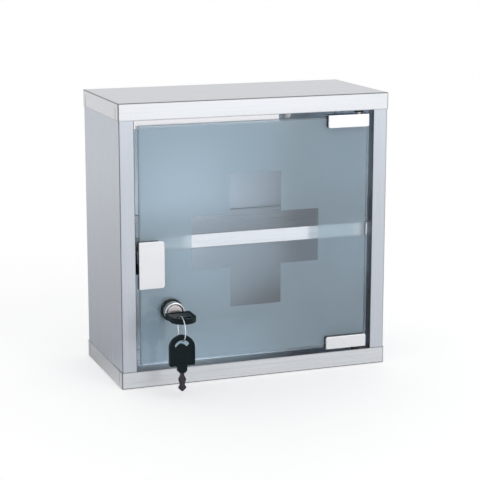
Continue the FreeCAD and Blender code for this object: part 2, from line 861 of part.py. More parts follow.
def make_latch_screws():
    """Two screws through the ears of the latch into its bracket."""
    grip = foot_thickness + sheet + latch_screw_grip
    screws = []
    for place in latch_screw_places():
        profile = [(0, -grip), (latch_screw_diameter / 2, -grip), (latch_screw_diameter / 2, 0),
                   (latch_screw_head / 2, 0), (latch_screw_head / 2, latch_screw_height),
                   (0, latch_screw_height)]
        screws.append(turned(profile, place, Vector(0, 0, 1)))
    return Part.makeCompound(screws)


def make_latch_plunger():
    """Plunger with a cup for the magnet and a collar that the spring pushes on."""
    pocket = magnet_thickness - magnet_proud
    cup = magnet_diameter / 2 + thread_gap
    head_end = plunger_head_length
    collar_start = collar_front - plunger_front
    tail = collar_back - plunger_front
    profile = [(0, pocket), (cup, pocket), (cup, 0), (plunger_head / 2, 0), (plunger_head / 2, head_end),
               (plunger_rod / 2, head_end), (plunger_rod / 2, collar_start),
               (plunger_collar / 2, collar_start), (plunger_collar / 2, tail), (0, tail)]
    return turned(profile, latch_point(plunger_front), Vector(0, 1, 0))


def make_latch_magnet():
    """Disc magnet in the plunger's cup."""
    return rod(magnet_diameter, latch_point(latch_face), Vector(0, 1, 0), magnet_thickness)


def spring_point(turn):
    """Point on the spring's centre line and its direction there, after a number of turns."""
    radius = (spring_diameter - spring_wire) / 2
    start = collar_back + spring_wire / 2 + latch_gap
    pitch = (end_cap_front - spring_wire / 2 - latch_gap - start) / spring_turns
    angle = 2 * math.pi * turn
    place = latch_point(start + pitch * turn) + Vector(math.cos(angle), 0, math.sin(angle)) * radius
    heading = Vector(-radius * math.sin(angle), pitch / (2 * math.pi), radius * math.cos(angle))
    return place, heading.normalize()


def arc_towards(start, corner, end):
    """Arc from start to end that is tangent to the lines to their shared corner."""
    chord = (start + end) * 0.5
    weight = (start - chord).Length / (start - corner).Length
    crown = (chord + corner * weight) * (1 / (1 + weight))
    return Part.Arc(start, crown, end).toShape()


def spring_path():
    """Centre line of the spring: pairs of tangent arcs, half a turn each."""
    path = []
    steps = spring_turns * arcs_per_turn
    for step in range(steps):
        start, heading = spring_point(step / arcs_per_turn)
        end, ending = spring_point((step + 1) / arcs_per_turn)
        gap = end - start
        turn = 2 * (1 + heading.dot(ending)) - 4
        pull = gap.dot(heading + ending)
        size = gap.dot(gap)
        reach = (2 * pull - math.sqrt(4 * pull ** 2 - 4 * turn * size)) / (2 * turn)
        corners = (start + heading * reach, end - ending * reach)
        joint = (corners[0] + corners[1]) * 0.5
        path += [arc_towards(start, corners[0], joint), arc_towards(joint, corners[1], end)]
    return Part.Wire(path)


def spring_gap():
    """Least gap from one turn of the spring to another, on points of its centre line."""
    points = spring_path().discretize(spring_turns * points_per_turn + 1)
    apart = points_per_turn // 2
    nearest = min((point - other).Length for place, point in enumerate(points)
                  for other in points[place + apart:])
    return nearest - spring_wire


def make_latch_spring():
    """Compression spring: a round wire along the centre line."""
    start, heading = spring_point(0)
    section = Part.Wire(Part.makeCircle(spring_wire / 2, start, heading))
    return spring_path().makePipeShell([section], True, False)


def build():
    """Every piece of the cabinet under its own name."""
    left_panel = make_left_side_panel()
    left_bracket = make_left_shelf_bracket()
    clamp = make_upper_hinge_clamp()
    liner = make_upper_hinge_liner()
    pin = make_upper_pivot_pin()
    bush = make_upper_pivot_bush()
    return {
        "top_cap": make_top_cap(),
        "bottom_cap": to_bottom(make_cap()),
        "left_side_panel": left_panel,
        "right_side_panel": to_right(left_panel),
        "back_panel": make_back_panel(),
        "shelf": make_shelf(),
        "left_shelf_bracket": left_bracket,
        "right_shelf_bracket": to_right(left_bracket),
        "door_stop_strip": make_door_stop_strip(),
        "stop_buffer": make_stop_buffer(),
        "upper_pivot_bush": bush,
        "lower_pivot_bush": to_bottom(bush),
        "latch_bracket": make_latch_bracket(),
        "latch_housing": make_latch_housing(),
        "latch_end_cap": make_latch_end_cap(),
        "latch_screws": make_latch_screws(),
        "latch_spring": make_latch_spring(),
        "latch_plunger": make_latch_plunger(),
        "latch_magnet": make_latch_magnet(),
        "door_glass": make_door_glass(),
        "upper_hinge_clamp": clamp,
        "lower_hinge_clamp": to_bottom(clamp),
        "upper_hinge_liner": liner,
        "lower_hinge_liner": to_bottom(liner),
        "upper_pivot_pin": pin,
        "lower_pivot_pin": to_bottom(pin),
        "hinge_set_screws": make_hinge_set_screws(),
        "strike_plate": make_strike_plate(),
        "strike_liner": make_strike_liner(),
        "lock_barrel": make_lock_barrel(),
        "lock_gasket": make_lock_gasket(),
        "lock_washer": make_lock_washer(),
        "lock_nut": make_lock_nut(),
        "lock_plug": make_lock_plug(),
        "lock_cam": make_lock_cam(),
        "cam_screw": make_cam_screw(),
        "key_bow": in_lock(key_bow()),
        "key_blade": in_lock(key_blade()),
        "key_ring": make_key_ring(),
        "spare_key_bow": on_ring(key_bow()),
        "spare_key_blade": on_ring(key_blade()),
    }


def main():
    """Write each piece to its own file."""
    os.makedirs("parts", exist_ok=True)
    for name, shape in build().items():
        shape.exportStep(os.path.join("parts", name + ".step"))
    print("least gap of the latch spring to itself:", round(spring_gap(), 2), "mm")


main()
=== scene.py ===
"""Studio scene of a wall cabinet for medicines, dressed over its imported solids."""

import math

import bmesh
import bpy
from bpy.props import FloatProperty, FloatVectorProperty, IntProperty, PointerProperty
from mathutils import Matrix, Vector


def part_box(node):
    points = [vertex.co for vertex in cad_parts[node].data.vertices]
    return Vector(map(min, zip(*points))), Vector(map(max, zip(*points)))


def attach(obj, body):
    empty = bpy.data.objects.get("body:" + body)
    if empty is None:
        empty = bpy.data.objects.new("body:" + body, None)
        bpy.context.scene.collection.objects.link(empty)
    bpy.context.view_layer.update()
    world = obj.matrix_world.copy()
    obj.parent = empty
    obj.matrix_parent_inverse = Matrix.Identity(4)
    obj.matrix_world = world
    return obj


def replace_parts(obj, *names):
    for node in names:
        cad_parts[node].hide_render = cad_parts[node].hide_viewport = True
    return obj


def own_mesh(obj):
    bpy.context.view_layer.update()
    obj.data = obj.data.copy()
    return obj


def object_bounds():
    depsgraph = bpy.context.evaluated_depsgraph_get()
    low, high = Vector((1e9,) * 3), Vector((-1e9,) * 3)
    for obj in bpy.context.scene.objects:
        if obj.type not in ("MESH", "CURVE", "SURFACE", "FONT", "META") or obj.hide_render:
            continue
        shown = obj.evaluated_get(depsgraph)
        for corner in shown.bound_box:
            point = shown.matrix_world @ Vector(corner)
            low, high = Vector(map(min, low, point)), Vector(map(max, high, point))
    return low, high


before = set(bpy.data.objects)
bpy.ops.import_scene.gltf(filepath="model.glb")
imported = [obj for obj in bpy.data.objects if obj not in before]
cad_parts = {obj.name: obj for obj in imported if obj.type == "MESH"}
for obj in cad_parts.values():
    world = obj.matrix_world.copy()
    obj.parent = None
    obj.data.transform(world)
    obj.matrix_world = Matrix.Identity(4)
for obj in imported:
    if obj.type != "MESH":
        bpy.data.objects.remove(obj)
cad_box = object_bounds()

bl_info = {
    "name": "Medicine cabinet finishes",
    "version": (1, 0, 0),
    "blender": (4, 5, 0),
    "location": "View3D > Sidebar > Cabinet",
    "description": "Finishes, small fasteners and studio stage for a glass-door wall cabinet",
    "category": "Object",
}

# Axes, and the nodes that share a finish
X_AXIS, Y_AXIS, Z_AXIS = range(3)
UPRIGHT_SHEETS = ("left_side_panel", "right_side_panel")
CAPS = ("top_cap", "bottom_cap")
BRACKETS = ("left_shelf_bracket", "right_shelf_bracket", "latch_bracket")
PLATED = ("upper_hinge_clamp", "lower_hinge_clamp", "strike_plate")
PLAIN_STEEL = ("upper_pivot_pin", "lower_pivot_pin", "hinge_set_screws", "latch_magnet", "lock_nut")
RUBBER = ("lock_gasket", "lock_washer", "upper_hinge_liner", "lower_hinge_liner", "strike_liner")
BLACK_CASES = ("latch_housing", "latch_end_cap", "latch_plunger", "upper_pivot_bush", "lower_pivot_bush")
BOWS = ("key_bow", "spare_key_bow")
BLADES = ("key_blade", "spare_key_blade")

# Range in which most values of a noise lie
NOISE_LOW, NOISE_HIGH = 0.3, 0.7

# Places read from the frame
FULL_TURN = 2 * math.pi
body_middle = (cad_box[0] + cad_box[1]) / 2
pane_low, pane_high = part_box("door_glass")
pane_middle = (pane_low + pane_high) / 2
lock_low, lock_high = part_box("lock_barrel")
lock_middle = (lock_low + lock_high) / 2


def cross_sizes():
    """Width of the clear cross and of its arms, from the raised part of the pane's inner face."""
    points = [vertex.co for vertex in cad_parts["door_glass"].data.vertices]
    near = 1e-5
    raised = [point for point in points if point.y > pane_high.y - near]
    top = max(point.z for point in raised)
    arm_end = [point.x for point in raised if point.z > top - near]
    return max(point.x for point in raised) * 2, max(arm_end) - min(arm_end)


cross_width, cross_arm_width = cross_sizes()


class SheetSettings(bpy.types.PropertyGroup):
    """Brushed sheet of the body."""

    colour: FloatVectorProperty(name="Colour", description="Colour of the brushed sides", subtype="COLOR",
                                min=0, max=1, default=(0.50, 0.53, 0.585))
    # Painted light: the caps' colour is a lighter copy of the sides', for the brighter light on their skirts
    cap: FloatVectorProperty(name="Caps", description="Colour of the brushed caps", subtype="COLOR",
                             min=0, max=1, default=(0.55, 0.565, 0.59))
    roughness: FloatProperty(name="Roughness", description="Mean roughness of the sheet", subtype="FACTOR",
                             min=0, max=1, default=0.3)
    grain_width: FloatProperty(name="Grain width", description="Width of one brush mark", unit="LENGTH",
                               default=0.0008)
    grain_length: FloatProperty(name="Grain length", description="Length of one brush mark", unit="LENGTH",
                                default=0.06)
    grain_depth: FloatProperty(name="Grain depth", description="Depth of the brush marks", unit="LENGTH",
                               default=0.00001)
    drawn_out: FloatProperty(name="Drawn out", description="How far the grain draws a reflection out",
                             subtype="FACTOR", min=0, max=1, default=0.7)
    edge_radius: FloatProperty(name="Edge radius", description="Rounding of cut edges", unit="LENGTH",
                               default=0.0005)
    # Painted shade: dark lines painted along the sheet's folds and cut edges, where shade falls
    line_width: FloatProperty(name="Line width", description="Reach of the dark lines at folds and edges",
                              unit="LENGTH", default=0.0016)
    painted_shade_line_share: FloatProperty(name="Line shade", description="Share of the colour left in the dark lines",
                              subtype="FACTOR", min=0, max=1, default=0.3)
    # Painted light: the inside faces are painted brighter than the outside, for light that the cabinet's
    # inside lacks
    inner_share: FloatProperty(name="Inner shade", description="Times the colour on the bright inside",
                               min=0, default=1.5)
    # Painted shade: the gap round the door is painted darker, where shade falls
    painted_gap_shade_share: FloatProperty(name="Gap shade", description="Share of the colour in the gap round the door",
                             subtype="FACTOR", min=0, max=1, default=0.3)
    painted_gap_shade_depth: FloatProperty(name="Gap depth", description="How far in the gap's shade reaches",
                             unit="LENGTH", default=0.04)
    # Partly painted light: the rear sheet's own grey is made lighter and bluer for the teal light inside the
    # cabinet
    rear: FloatVectorProperty(name="Rear sheet", description="Colour of the unbrushed rear sheet",
                              subtype="COLOR", min=0, max=1, default=(0.60, 0.66, 0.72))
    shelf: FloatVectorProperty(name="Shelf", description="Colour of the polished shelf", subtype="COLOR",
                               min=0, max=1, default=(0.87, 0.84, 0.84))
    strip: FloatVectorProperty(name="Stop strip", description="Colour of the stop strip", subtype="COLOR",
                               min=0, max=1, default=(0.60, 0.60, 0.62))


class PaneSettings(bpy.types.PropertyGroup):
    """Etched glass of the door."""

    tint: FloatVectorProperty(name="Tint", description="Colour of light that has passed the clear cross",
                              subtype="COLOR", min=0, max=1, default=(0.86, 0.90, 0.94))
    etch_tint: FloatVectorProperty(name="Etched tint", description="Colour of the etched part of the pane",
                                   subtype="COLOR", min=0, max=1, default=(0.71, 0.90, 1.0))
    edge_share: FloatProperty(name="Edge shade", description="Share of the tint left at the pane's cut edges",
                              subtype="FACTOR", min=0, max=1, default=0.35)
    etch_roughness: FloatProperty(name="Etch roughness", description="Roughness of the etched face",
                                  subtype="FACTOR", min=0, max=1, default=0.4)
    clear_roughness: FloatProperty(name="Clear roughness", description="Roughness of the polished faces",
                                   subtype="FACTOR", min=0, max=1, default=0.02)
    milk: FloatProperty(name="Milk", description="Share of light that the etched face scatters back",
                        subtype="FACTOR", min=0, max=1, default=0.41)
    border: FloatProperty(name="Border", description="Polished border round the etching", unit="LENGTH",
                          default=0.0022)
    cross_size: FloatProperty(name="Cross size", description="Full width and height of the clear cross",
                              unit="LENGTH", default=cross_width)
    cross_arm: FloatProperty(name="Cross arm", description="Width of the cross's arms", unit="LENGTH",
                             default=cross_arm_width)


class FittingSettings(bpy.types.PropertyGroup):
    """Plated, plain and soft fittings."""

    plating: FloatVectorProperty(name="Plating", description="Colour of the bright plating", subtype="COLOR",
                                 min=0, max=1, default=(0.69, 0.70, 0.725))
    plating_roughness: FloatProperty(name="Plating roughness", description="Mean roughness of the plating",
                                     subtype="FACTOR", min=0, max=1, default=0.25)
    steel: FloatVectorProperty(name="Steel", description="Colour of plain steel parts", subtype="COLOR",
                               min=0, max=1, default=(0.50, 0.50, 0.51))
    plug: FloatVectorProperty(name="Plug", description="Colour of the lock's plug", subtype="COLOR",
                              min=0, max=1, default=(0.90, 0.86, 0.87))
    rubber: FloatVectorProperty(name="Rubber", description="Colour of gaskets and liners", subtype="COLOR",
                                min=0, max=1, default=(0.018, 0.024, 0.026))
    nylon: FloatVectorProperty(name="Nylon", description="Colour of the pale buffer", subtype="COLOR",
                               min=0, max=1, default=(0.92, 0.93, 0.92))


class KeySettings(bpy.types.PropertyGroup):
    """Keys."""

    bow: FloatVectorProperty(name="Bow", description="Colour of the moulded bows", subtype="COLOR",
                             min=0, max=1, default=(0.001, 0.008, 0.011))
    bow_roughness: FloatProperty(name="Bow roughness", description="Mean roughness of the bows",
                                 subtype="FACTOR", min=0, max=1, default=0.36)
    blade: FloatVectorProperty(name="Blade", description="Colour of the blades", subtype="COLOR",
                               min=0, max=1, default=(0.045, 0.04, 0.05))
    blade_worn: FloatProperty(name="Blade wear", description="Times the colour on the worn edges of a blade",
                              min=1, default=6.0)


class DetailSettings(bpy.types.PropertyGroup):
    """Small fasteners."""

    rivet_diameter: FloatProperty(name="Rivet", description="Diameter of a rivet's head", unit="LENGTH",
                                  default=0.0055)
    rivet_height: FloatProperty(name="Rivet height", description="Height of a rivet's head", unit="LENGTH",
                                default=0.0007)
    rivet_margin: FloatProperty(name="Rivet margin", description="From a flange's end to its last rivet",
                                unit="LENGTH", default=0.03)
    rivets_per_flange: IntProperty(name="Rivets per flange", description="Rivets up each rear flange",
                                   min=2, default=4)
    thread_pitch: FloatProperty(name="Thread pitch", description="Pitch of the barrel's thread",
                                unit="LENGTH", default=0.001)
    thread_height: FloatProperty(name="Thread height", description="Height of the barrel's thread",
                                 unit="LENGTH", default=0.0003)
    spring_wire: FloatProperty(name="Spring wire", description="Diameter of the latch spring's wire",
                               unit="LENGTH", default=0.0009)
    spring_turns: IntProperty(name="Spring turns", description="Turns of the latch spring", min=1, default=5)
    screw_head: FloatProperty(name="Screw head", description="Diameter of a latch screw's head",
                              unit="LENGTH", default=0.0055)
    screw_shank: FloatProperty(name="Screw shank", description="Diameter of a latch screw's shank",
                               unit="LENGTH", default=0.003)
    screw_head_height: FloatProperty(name="Screw head height", description="Height of a latch screw's head",
                                     unit="LENGTH", default=0.002)


class StageSettings(bpy.types.PropertyGroup):
    """Floor, light and camera."""

    floor_colour: FloatVectorProperty(name="Floor", description="Colour of the floor", subtype="COLOR",
                                      min=0, max=1, default=(0.84, 0.84, 0.84))
    floor_size: FloatProperty(name="Floor size", description="Side of the floor", unit="LENGTH",
                              default=60.0)
    floor_lift: FloatProperty(name="Floor lift", description="White that a direct look at the floor adds",
                              default=0.36)
    # Painted shadow: how far reflections of the floor lose its white behind the cabinet
    painted_shadow_reach: FloatProperty(name="Shade reach", description="How far the shade behind the cabinet reaches",
                               unit="LENGTH", default=1.3)
    fill: FloatProperty(name="Fill", description="Strength of the even light", default=0.7)
    key_power: FloatProperty(name="Key light", description="Power of the soft light in front", unit="POWER",
                             default=17.0)
    key_width: FloatProperty(name="Key width", description="Width of the soft light in front", unit="LENGTH",
                             default=1.5)
    key_height: FloatProperty(name="Key height", description="Height of the soft light in front",
                              unit="LENGTH", default=3.0)
    key_place: FloatVectorProperty(name="Key place", description="Where the soft light in front stands",
                                   subtype="XYZ", unit="LENGTH", default=(0.9, -2.6, 1.25))
    camera_place: FloatVectorProperty(name="Camera place", description="Where the camera stands",
                                      subtype="XYZ", unit="LENGTH", default=(-0.5639, -1.5626, 0.4888))
    camera_yaw: FloatProperty(name="Camera yaw", description="Turn of the view to the right", unit="ROTATION",
                              default=0.3499)
    camera_pitch: FloatProperty(name="Camera pitch", description="Tilt of the view down", unit="ROTATION",
                                default=0.2096)
    camera_lens: FloatProperty(name="Lens", description="Focal length on a 36 mm sensor", unit="CAMERA",
                               default=115.76)


class Finish:
    """One material in the making: its node tree and its main shader."""

    def __init__(self, name):
        self.material = bpy.data.materials.new(name)
        self.material.use_nodes = True
        self.tree = self.material.node_tree
        self.shader = self.tree.nodes["Principled BSDF"]
        coords = self.add("ShaderNodeTexCoord", {}).outputs
        self.place = coords["Object"]
        self.facing = coords["Normal"]

    def add(self, kind, inputs, **settings):
        """New node with its settings, and with its inputs given as values or as outputs that feed them."""
        node = self.tree.nodes.new(kind)
        for name, value in settings.items():
            setattr(node, name, value)
        self.feed(node, inputs)
        return node

    def feed(self, node, inputs):
        """Give values or outputs to a node's inputs."""
        for name, value in inputs.items():
            if isinstance(value, bpy.types.NodeSocket):
                self.tree.links.new(value, node.inputs[name])
            else:
                node.inputs[name].default_value = value

    def surface(self, inputs):
        """Set the main shader and hand back the material."""
        self.feed(self.shader, inputs)
        return self.material

    def math(self, operation, first, second=0.0):
        """Sum of two values, or another operation on them."""
        return self.add("ShaderNodeMath", {0: first, 1: second}, operation=operation).outputs["Value"]

    def vector(self, operation, first, second=(0, 0, 0)):
        """Outputs of an operation on two vectors."""
        return self.add("ShaderNodeVectorMath", {0: first, 1: second}, operation=operation).outputs

    def parts(self, vector):
        """X, Y and Z of a vector."""
        return self.add("ShaderNodeSeparateXYZ", {"Vector": vector}).outputs

    def noise(self, scale):
        """Noise between zero and one, with a scale for each axis."""
        mapping = self.add("ShaderNodeMapping", {"Vector": self.place, "Scale": scale})
        inputs = {"Vector": mapping.outputs["Vector"], "Scale": 1.0, "Detail": 3.0, "Roughness": 0.6}
        return self.add("ShaderNodeTexNoise", inputs).outputs["Fac"]

    def cloud(self, size):
        """Even noise with cells of a given size."""
        return self.noise((1 / size,) * 3)

    def streaks(self, width, length, axis):
        """Noise drawn out along an axis, as brushing leaves it."""
        scale = [1 / width] * 3
        scale[axis] = 1 / length
        return self.noise(scale)

    def rings(self, centre, width):
        """Noise in rings round a line along Y."""
        offset = self.vector("SUBTRACT", self.place, centre)["Vector"]
        flat = self.vector("MULTIPLY", offset, (1, 0, 1))["Vector"]
        radius = self.vector("LENGTH", flat)["Value"]
        inputs = {"W": radius, "Scale": 1 / width, "Detail": 2.0}
        return self.add("ShaderNodeTexNoise", inputs, noise_dimensions="1D").outputs["Fac"]

    def blend(self, factor, first, second):
        """Value between two others."""
        inputs = {"Factor": factor, "A": first, "B": second}
        return self.add("ShaderNodeMix", inputs, data_type="FLOAT").outputs["Result"]

    def between(self, value, zero_at, one_at):
        """Zero where a value has reached one limit, and one where it has reached the other."""
        inputs = {"Value": value, "From Min": zero_at, "From Max": one_at}
        return self.add("ShaderNodeMapRange", inputs).outputs["Result"]

    def spread(self, noise, low, high):
        """Noise stretched between two limits."""
        inputs = {"Value": noise, "From Min": NOISE_LOW, "From Max": NOISE_HIGH,
                  "To Min": low, "To Max": high}
        return self.add("ShaderNodeMapRange", inputs).outputs["Result"]

    def about(self, noise, mean, share):
        """Noise stretched by a share to either side of a mean."""
        return self.spread(noise, mean * (1 - share), mean * (1 + share))

    def shades(self, noise, colour, dark_share, light_share):
        """Colour that varies between a darker and a lighter share of itself."""
        ramp = self.add("ShaderNodeValToRGB", {"Fac": noise})
        stops = zip(ramp.color_ramp.elements, (NOISE_LOW, NOISE_HIGH), (dark_share, light_share))
        for stop, position, share in stops:
            stop.position = position
            stop.color = [min(1.0, part * share) for part in colour] + [1.0]
        return ramp.outputs["Color"]

    def mixed(self, factor, first, second):
        """Colour between two others."""
        ramp = self.add("ShaderNodeValToRGB", {"Fac": factor})
        for stop, colour in zip(ramp.color_ramp.elements, (first, second)):
            stop.color = (*colour, 1.0)
        return ramp.outputs["Color"]

    def scaled(self, colour, factor, share):
        """Colour that goes to a share of itself where a factor is one."""
        left = self.blend(factor, 1.0, share)
        grey = self.add("ShaderNodeCombineXYZ", {"X": left, "Y": left, "Z": left}).outputs["Vector"]
        return self.vector("MULTIPLY", colour, grey)["Vector"]

    def folds(self):
        """One on rounded bends, where the normal leans away from every axis."""
        leans = self.parts(self.vector("ABSOLUTE", self.facing)["Vector"])
        most = self.math("MAXIMUM", self.math("MAXIMUM", leans["X"], leans["Y"]), leans["Z"])
        return self.between(most, zero_at=0.998, one_at=0.97)

    def inwards(self):
        """One on faces that look towards the middle of the cabinet."""
        to_middle = self.vector("SUBTRACT", body_middle, self.place)["Vector"]
        towards = self.vector("DOT_PRODUCT", self.facing, to_middle)["Value"]
        return self.math("GREATER_THAN", towards, 0.0)

    def near_front(self, depth):
        """One at the front of the cabinet, falling to zero at a depth behind it."""
        return self.between(self.parts(self.place)["Y"], pane_low.y + depth, pane_low.y)

    def across(self, lay):
        """Direction on the surface square to the lay of the grain."""
        return self.vector("CROSS_PRODUCT", self.facing, lay)["Vector"]

    def rounded(self, radius, least=0.75, most=0.98):
        """Normal that is softened at the edges, and one where it leans far from the true normal."""
        soft = self.add("ShaderNodeBevel", {"Radius": radius}, samples=4).outputs["Normal"]
        true = self.add("ShaderNodeNewGeometry", {}).outputs["Normal"]
        likeness = self.vector("DOT_PRODUCT", soft, true)["Value"]
        return soft, self.between(likeness, most, least)

    def bump(self, height, depth, normal):
        """Relief of a given depth over a normal."""
        inputs = {"Height": height, "Distance": depth, "Strength": 1.0, "Normal": normal}
        return self.add("ShaderNodeBump", inputs).outputs["Normal"]


def unit(axis):
    """Direction of length one along an axis."""
    return tuple(float(axis == other) for other in range(3))


def brush_marks(finish, axis):
    """Fine and broad brush marks along an axis."""
    sheet = bpy.context.scene.cabinet_sheet
    broad_times = 4
    broad_share = 0.45
    fine = finish.streaks(sheet.grain_width, sheet.grain_length, axis)
    broad = finish.streaks(sheet.grain_width * broad_times, sheet.grain_length * broad_times, axis)
    return finish.blend(broad_share, fine, broad)


def brushed_sheet(name, colour, axis, end_axis=None, painted_inside_and_gap=False):
    """Brushed steel with its grain along one axis, or along another on faces that look along the first.

    Asked for, the sheet carries painted light and shade: its inside is painted brighter than its outside, and
    painted shade darkens it in the gap round the door.
    """
    sheet = bpy.context.scene.cabinet_sheet
    end_facing = 0.7
    finish = Finish(name)
    lay = unit(axis)
    marks = brush_marks(finish, axis)
    if end_axis is not None:
        looks_along = finish.math("ABSOLUTE", finish.parts(finish.facing)[axis])
        turned = finish.math("GREATER_THAN", looks_along, end_facing)
        marks = finish.blend(turned, marks, brush_marks(finish, end_axis))
        lay = finish.mixed(turned, lay, unit(end_axis))
    normal = finish.rounded(sheet.edge_radius)[0]
    edge = finish.rounded(sheet.line_width, least=0.9, most=0.99)[1]
    # Painted shade along folds and cut edges
    painted_shade_lines = finish.math("MAXIMUM", edge, finish.folds())
    shade = finish.shades(marks, colour, dark_share=0.93, light_share=1.055)
    # Painted light on the inside faces, and painted shade in the gap round the door
    if painted_inside_and_gap:
        inside = finish.inwards()
        shade = finish.scaled(shade, inside, sheet.inner_share)
        gap = finish.math("MULTIPLY", inside, finish.near_front(sheet.painted_gap_shade_depth))
        shade = finish.scaled(shade, gap, sheet.painted_gap_shade_share)
    return finish.surface({
        "Base Color": finish.scaled(shade, painted_shade_lines, sheet.painted_shade_line_share),
        "Metallic": 1.0,
        "Roughness": finish.about(marks, sheet.roughness, share=0.2),
        "Anisotropic": sheet.drawn_out,
        "Tangent": finish.across(lay),
        "Normal": finish.bump(marks, sheet.grain_depth, normal),
    })


def bright_plating(name, roughness_share=1.0):
    """Plated metal with faint wiping marks and smoother edges."""
    fitting = bpy.context.scene.cabinet_fitting
    wiped_share = 0.4
    edge_share = 0.6
    finish = Finish(name)
    wiping = finish.streaks(width=0.0006, length=0.03, axis=X_AXIS)
    marks = finish.blend(wiped_share, finish.cloud(size=0.014), wiping)
    normal, edge = finish.rounded(radius=0.0005)
    mean = fitting.plating_roughness * roughness_share
    rough = finish.about(marks, mean, share=0.15)
    return finish.surface({
        "Base Color": finish.shades(marks, fitting.plating, dark_share=0.98, light_share=1.02),
        "Metallic": 1.0,
        "Roughness": finish.blend(edge, rough, mean * edge_share),
        "Normal": finish.bump(marks, depth=0.0000015, normal=normal),
    })


def plain_steel(name, colour, worn_share=1.3, mottle_share=1.0):
    """Turned or stamped steel, a little dull, worn bright at the edges."""
    roughness = 0.34
    worn_roughness = 0.18
    rough_swing = 0.08 * mottle_share
    dark_share = 1 - 0.15 * mottle_share
    light_share = 1 + 0.1 * mottle_share
    broad_share = 0.5
    finish = Finish(name)
    marks = finish.blend(broad_share, finish.cloud(size=0.0012), finish.cloud(size=0.008))
    normal, edge = finish.rounded(radius=0.0003)
    rough = finish.spread(marks, roughness - rough_swing, roughness + rough_swing)
    shade = finish.shades(marks, colour, dark_share, light_share)
    return finish.surface({
        "Base Color": finish.scaled(shade, edge, worn_share),
        "Metallic": 1.0,
        "Roughness": finish.blend(edge, rough, worn_roughness),
        "Normal": finish.bump(marks, depth=0.00001, normal=normal),
    })


def turned_face(name, colour):
    """Lathe-turned metal with rings round the lock's axis."""
    worn_roughness = 0.2
    finish = Finish(name)
    marks = finish.rings(lock_middle, width=0.00025)
    normal, edge = finish.rounded(radius=0.0003)
    rough = finish.spread(marks, low=0.42, high=0.6)
    return finish.surface({
        "Base Color": finish.shades(marks, colour, dark_share=0.9, light_share=1.08),
        "Metallic": 1.0,
        "Roughness": finish.blend(edge, rough, worn_roughness),
        "Normal": finish.bump(marks, depth=0.000008, normal=normal),
    })


def moulding(name, colour, roughness, grain, gloss=0.5):
    """Moulded plastic or rubber with a fine grain and smoother edges."""
    broad_times = 14
    fine_share = 0.6
    depth_share = 0.05
    edge_share = 0.75
    finish = Finish(name)
    fine = finish.cloud(grain)
    broad = finish.cloud(grain * broad_times)
    normal, edge = finish.rounded(radius=0.0004)
    rough = finish.about(broad, roughness, share=0.15)
    mottle = finish.blend(fine_share, broad, fine)
    return finish.surface({
        "Base Color": finish.shades(mottle, colour, dark_share=0.8, light_share=1.25),
        "Specular IOR Level": gloss,
        "Roughness": finish.blend(edge, rough, roughness * edge_share),
        "Normal": finish.bump(fine, grain * depth_share, normal),
    })


def within(finish, offset, half):
    """One where an offset from the middle is less than a half width."""
    return finish.math("LESS_THAN", finish.math("ABSOLUTE", offset), half)


def etched_pane(name):
    """Float glass, etched on its inner face apart from the clear cross, and darker at its cut edges."""
    pane = bpy.context.scene.cabinet_pane
    inner_share = 0.4
    finish = Finish(name)
    centred = finish.parts(finish.vector("SUBTRACT", finish.place, pane_middle)["Vector"])
    across, up = centred["X"], centred["Z"]
    reach, arm = pane.cross_size / 2, pane.cross_arm / 2
    upright = finish.math("MULTIPLY", within(finish, across, arm), within(finish, up, reach))
    level = finish.math("MULTIPLY", within(finish, across, reach), within(finish, up, arm))
    clear = finish.math("MAXIMUM", upright, level)
    inner = finish.math("GREATER_THAN", centred["Y"], (pane_high.y - pane_low.y) * inner_share)
    wide, high = [(pane_high[axis] - pane_low[axis]) / 2 - pane.border for axis in (X_AXIS, Z_AXIS)]
    field = finish.math("MULTIPLY", within(finish, across, wide), within(finish, up, high))
    rough_face = finish.math("MULTIPLY", inner, field)
    etched = finish.math("MULTIPLY", rough_face, finish.math("SUBTRACT", 1.0, clear))
    cut_edge = within(finish, finish.parts(finish.facing)["Y"], half=0.5)
    colour = finish.mixed(etched, pane.tint, pane.etch_tint)
    bite = finish.about(finish.cloud(size=0.003), pane.etch_roughness, share=0.05)
    milk = finish.about(finish.cloud(size=0.03), pane.milk, share=0.1)
    return finish.surface({
        "Base Color": finish.scaled(colour, cut_edge, pane.edge_share),
        "Roughness": finish.blend(etched, pane.clear_roughness, bite),
        "Transmission Weight": finish.math("SUBTRACT", 1.0, finish.math("MULTIPLY", etched, milk)),
        "IOR": 1.5,
    })


def dress(nodes, material):
    """Give solids of the frame a finish."""
    for node in nodes:
        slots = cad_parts[node].data.materials
        slots.clear()
        slots.append(material)


def new_piece(name, mesh, material, body):
    """Turn a finished bmesh into a piece that rides on a body."""
    bmesh.ops.recalc_face_normals(mesh, faces=mesh.faces)
    data = bpy.data.meshes.new(name)
    mesh.to_mesh(data)
    mesh.free()
    piece = bpy.data.objects.new(name, data)
    bpy.context.scene.collection.objects.link(piece)
    data.materials.append(material)
    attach(piece, body)
    return piece


def place_along(direction, place):
    """Matrix that turns +Z to a direction and moves the origin to a place."""
    turn = Vector((0, 0, 1)).rotation_difference(Vector(direction)).to_matrix().to_4x4()
    return Matrix.Translation(place) @ turn


def add_turned(mesh, profile, steps):
    """Spin a profile of radius and height round Z."""
    first = [mesh.verts.new((radius, 0, height)) for radius, height in profile]
    edges = [mesh.edges.new(pair) for pair in zip(first, first[1:])]
    bmesh.ops.spin(mesh, geom=first + edges, cent=(0, 0, 0), axis=(0, 0, 1), angle=FULL_TURN, steps=steps,
                   use_merge=True)


